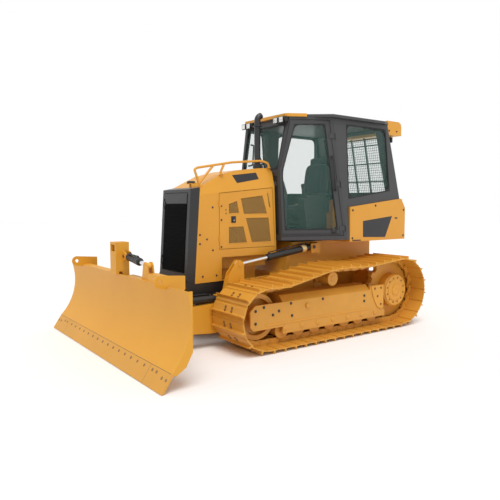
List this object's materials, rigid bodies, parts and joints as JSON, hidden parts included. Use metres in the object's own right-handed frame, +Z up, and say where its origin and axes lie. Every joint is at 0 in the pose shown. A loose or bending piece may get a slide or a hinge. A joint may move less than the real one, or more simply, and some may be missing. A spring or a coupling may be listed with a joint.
{
  "type": "small crawler dozer with a cab and six-way blade",
  "caption": "Small crawler dozer on wide tracks with an enclosed cab and a blade that lifts, angles and tilts.",
  "frame": {"origin": "on the ground on the centre line, midway along the machine's overall length", "axes": "+X ahead towards the blade, +Y to the machine's left, +Z up"},
  "size_m": [4.286, 3.149, 2.7912],
  "materials": {
    "yellow_paint": "gloss",
    "cab_paint": "satin",
    "black_paint": "satin",
    "track_steel": "satin",
    "rod_chrome": "polished",
    "cab_tint": "clear",
    "seat_vinyl": "matt",
    "trim_plastic": "matt",
    "edge_steel": "satin",
    "lamp_black": "gloss"
  },
  "bodies": {
    "root": {"track_left": "track_steel", "track_right": "track_steel", "sprockets": "yellow_paint", "final_drives": "yellow_paint", "idlers": "yellow_paint", "track_rollers": "yellow_paint", "carrier_rollers": "yellow_paint", "track_frames": "yellow_paint", "main_frame": "yellow_paint", "nose_support": "black_paint", "engine_block": "black_paint", "radiator": "black_paint", "hood": "yellow_paint", "nose_frame": "black_paint", "exhaust_stack": "black_paint", "handrail": "yellow_paint", "cab_frame": "cab_paint", "cab_floor": "trim_plastic", "cab_roof": "cab_paint", "roof_bar": "yellow_paint", "front_lamps": "lamp_black", "roof_housing": "yellow_paint", "rear_body": "yellow_paint", "cab_glass": "cab_tint", "seat": "seat_vinyl", "seat_pedestal": "trim_plastic", "consoles": "trim_plastic", "rear_screen": "black_paint", "rear_hitch": "yellow_paint"},
    "engine_door_left": {"engine_door_left": "yellow_paint"},
    "engine_door_right": {"engine_door_right": "yellow_paint"},
    "grille_door": {"grille_door": "black_paint"},
    "cab_door_left": {"cab_door_left": "cab_paint", "door_glass_left": "cab_tint"},
    "cab_door_right": {"cab_door_right": "cab_paint", "door_glass_right": "cab_tint"},
    "push_frame": {"push_frame": "yellow_paint"},
    "lift_barrel_left": {"lift_barrel_left": "black_paint"},
    "lift_barrel_right": {"lift_barrel_right": "black_paint"},
    "lift_rod_left": {"lift_rod_left": "rod_chrome"},
    "lift_rod_right": {"lift_rod_right": "rod_chrome"},
    "yoke": {"yoke_tower": "yellow_paint"},
    "angle_barrel_left": {"angle_barrel_left": "yellow_paint"},
    "angle_barrel_right": {"angle_barrel_right": "yellow_paint"},
    "angle_rod_left": {"angle_rod_left": "rod_chrome"},
    "angle_rod_right": {"angle_rod_right": "rod_chrome"},
    "tilt_barrel": {"tilt_barrel": "black_paint"},
    "tilt_rod": {"tilt_rod": "rod_chrome"},
    "blade": {"blade": "yellow_paint", "cutting_edge": "edge_steel"}
  },
  "joints": [
    {"name": "push_lift", "type": "hinge", "parent": "root", "child": "push_frame", "pos_m": [-0.163, 0, 0.43], "axis": [0, 1, 0], "range_deg": [-19, 14]},
    {"name": "blade_angle", "type": "hinge", "parent": "push_frame", "child": "yoke", "pos_m": [1.637, 0, 0.4], "axis": [0, 0, 1], "range_deg": [-25, 25]},
    {"name": "blade_tilt", "type": "hinge", "parent": "yoke", "child": "blade", "pos_m": [1.737, 0, 0.4], "axis": [1, 0, 0], "range_deg": [-8, 8]},
    {"name": "lift_barrel_left", "type": "hinge", "parent": "root", "child": "lift_barrel_left", "pos_m": [-0.589, 0.48, 1.087], "axis": [0, 1, 0], "range_deg": [-11.5, 8.5]},
    {"name": "lift_rod_left", "type": "slide", "parent": "lift_barrel_left", "child": "lift_rod_left", "axis": [0.9908, 0, -0.1351], "range_m": [-0.205, 0.152]},
    {"name": "angle_barrel_left", "type": "hinge", "parent": "push_frame", "child": "angle_barrel_left", "pos_m": [0.877, 0.48, 0.56], "axis": [0, 0, 1], "range_deg": [-2.2, 2.2]},
    {"name": "angle_rod_left", "type": "slide", "parent": "angle_barrel_left", "child": "angle_rod_left", "axis": [0.9992, -0.0402, 0], "range_m": [-0.192, 0.192]},
    {"name": "lift_barrel_right", "type": "hinge", "parent": "root", "child": "lift_barrel_right", "pos_m": [-0.589, -0.48, 1.087], "axis": [0, 1, 0], "range_deg": [-11.5, 8.5]},
    {"name": "lift_rod_right", "type": "slide", "parent": "lift_barrel_right", "child": "lift_rod_right", "axis": [0.9908, 0, -0.1351], "range_m": [-0.205, 0.152]},
    {"name": "angle_barrel_right", "type": "hinge", "parent": "push_frame", "child": "angle_barrel_right", "pos_m": [0.877, -0.48, 0.56], "axis": [0, 0, 1], "range_deg": [-2.2, 2.2]},
    {"name": "angle_rod_right", "type": "slide", "parent": "angle_barrel_right", "child": "angle_rod_right", "axis": [0.9992, 0.0402, 0], "range_m": [-0.192, 0.192]},
    {"name": "tilt_barrel", "type": "hinge", "parent": "yoke", "child": "tilt_barrel", "pos_m": [1.807, 0.13, 1.07], "axis": [1, 0, 0], "range_deg": [-9.3, 9.3]},
    {"name": "tilt_rod", "type": "slide", "parent": "tilt_barrel", "child": "tilt_rod", "axis": [0, 0.9934, -0.1146], "range_m": [-0.097, 0.097]},
    {"name": "cab_door_left", "type": "hinge", "parent": "root", "child": "cab_door_left", "pos_m": [-0.9175, 0.8018, 1.18], "axis": [0.1213, -0.0566, 0.991], "range_deg": [0, 140]},
    {"name": "cab_door_right", "type": "hinge", "parent": "root", "child": "cab_door_right", "pos_m": [-0.9175, -0.8018, 1.18], "axis": [-0.1213, -0.0566, -0.991], "range_deg": [0, 140]},
    {"name": "engine_door_left", "type": "hinge", "parent": "root", "child": "engine_door_left", "pos_m": [0.749, 0.343, 1.435], "axis": [0, 0, -1], "range_deg": [0, 95]},
    {"name": "engine_door_right", "type": "hinge", "parent": "root", "child": "engine_door_right", "pos_m": [0.749, -0.343, 1.435], "axis": [0, 0, 1], "range_deg": [0, 95]},
    {"name": "grille_door", "type": "hinge", "parent": "root", "child": "grille_door", "pos_m": [1.17093, -0.289, 1.3], "axis": [0.063, 0, -0.998], "range_deg": [0, 100]}
  ],
  "couplings": [
    {"joint": "lift_barrel_left", "follows": "push_lift", "ratio": 0.571},
    {"joint": "lift_rod_left", "follows": "push_lift", "m_per_rad": 0.6038},
    {"joint": "angle_barrel_left", "follows": "blade_angle", "ratio": -0.0803},
    {"joint": "angle_rod_left", "follows": "blade_angle", "m_per_rad": -0.4322},
    {"joint": "lift_barrel_right", "follows": "push_lift", "ratio": 0.571},
    {"joint": "lift_rod_right", "follows": "push_lift", "m_per_rad": 0.6038},
    {"joint": "angle_barrel_right", "follows": "blade_angle", "ratio": -0.0803},
    {"joint": "angle_rod_right", "follows": "blade_angle", "m_per_rad": 0.4322},
    {"joint": "tilt_barrel", "follows": "blade_tilt", "ratio": 1.12},
    {"joint": "tilt_rod", "follows": "blade_tilt", "m_per_rad": -0.677}
  ]
}
